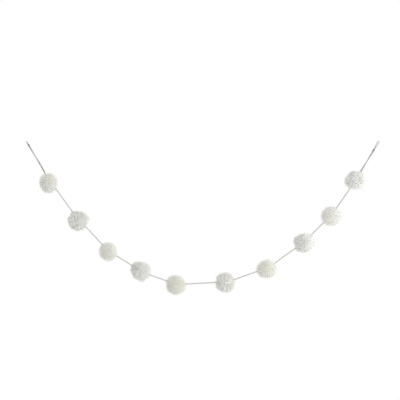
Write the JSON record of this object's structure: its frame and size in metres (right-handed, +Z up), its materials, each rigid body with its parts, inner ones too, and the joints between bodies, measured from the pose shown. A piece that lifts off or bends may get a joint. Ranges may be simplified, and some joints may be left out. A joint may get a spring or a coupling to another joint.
{
  "type": "pompom garland",
  "caption": "Garland of round yarn pompoms, smooth and tufted in turn, on thin jute twine that hangs in a curve between a knotted loop at each end.",
  "frame": {"origin": "middle of the left loop's eye, where the nail or hook that holds it passes", "axes": "+X from the left loop to the right one, +Z up, +Y away from the viewer, towards what the garland hangs against"},
  "size_m": [1.356, 0.0816, 0.5908],
  "materials": {
    "fine_yarn": "fine off-white yarn, cut to a smooth even pile",
    "coarse_yarn": "coarse white yarn, cut to open uneven tufts",
    "jute_twine": "tan twisted jute, matt and a little hairy"
  },
  "bodies": {
    "root": {"pompom_01": "fine_yarn", "pompom_02": "coarse_yarn", "pompom_03": "fine_yarn", "pompom_04": "coarse_yarn", "pompom_05": "fine_yarn", "pompom_06": "coarse_yarn", "pompom_07": "fine_yarn", "pompom_08": "coarse_yarn", "pompom_09": "fine_yarn", "pompom_10": "coarse_yarn", "twine": "jute_twine", "left_tail": "jute_twine", "right_tail": "jute_twine", "left_loop": "jute_twine", "right_loop": "jute_twine"}
  },
  "joints": []
}
